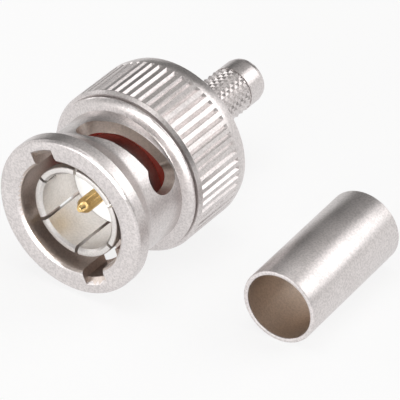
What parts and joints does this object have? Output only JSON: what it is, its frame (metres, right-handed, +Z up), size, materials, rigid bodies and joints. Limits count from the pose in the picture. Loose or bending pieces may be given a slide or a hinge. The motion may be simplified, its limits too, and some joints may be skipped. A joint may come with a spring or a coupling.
{
  "type": "bayonet coaxial cable plug",
  "caption": "Bayonet coaxial plug for a crimped cable: fluted nut with two cam slots, slotted outer contact, gold centre pin, knurled crimp stem and a loose crimp ferrule beside it",
  "frame": {"origin": "on the plug's axis at the front insulator's face", "axes": "-Y points out of the mouth, +Y back along the cable, +Z up from the surface the plug lies on"},
  "size_m": [0.0282, 0.0254, 0.0148],
  "materials": {
    "nickel": "satin nickel plate over brass",
    "ptfe": "white, slightly waxy",
    "gold": "bright gold plate",
    "silicone": "smooth, slightly glossy",
    "spring_steel": "plain spring steel"
  },
  "bodies": {
    "plug": {"crimp_body": "nickel", "outer_contact": "nickel", "front_insulator": "ptfe", "rear_insulator": "ptfe", "centre_pin": "gold", "gasket": "silicone", "front_washer": "spring_steel", "wave_washer": "spring_steel", "crimp_ferrule": "nickel"},
    "slip_ring": {"rear_washer": "spring_steel"},
    "nut": {"coupling_nut": "nickel"}
  },
  "joints": [
    {"name": "nut_slide", "type": "slide", "parent": "plug", "child": "slip_ring", "axis": [0, -1, 0], "range_m": [0, 0.0006], "stiffness_N_per_m": 5000, "deforming": ["wave_washer"]},
    {"name": "nut_turn", "type": "hinge", "parent": "slip_ring", "child": "nut", "pos_m": [0, 0, 0], "axis": [0, -1, 0], "continuous": true}
  ]
}
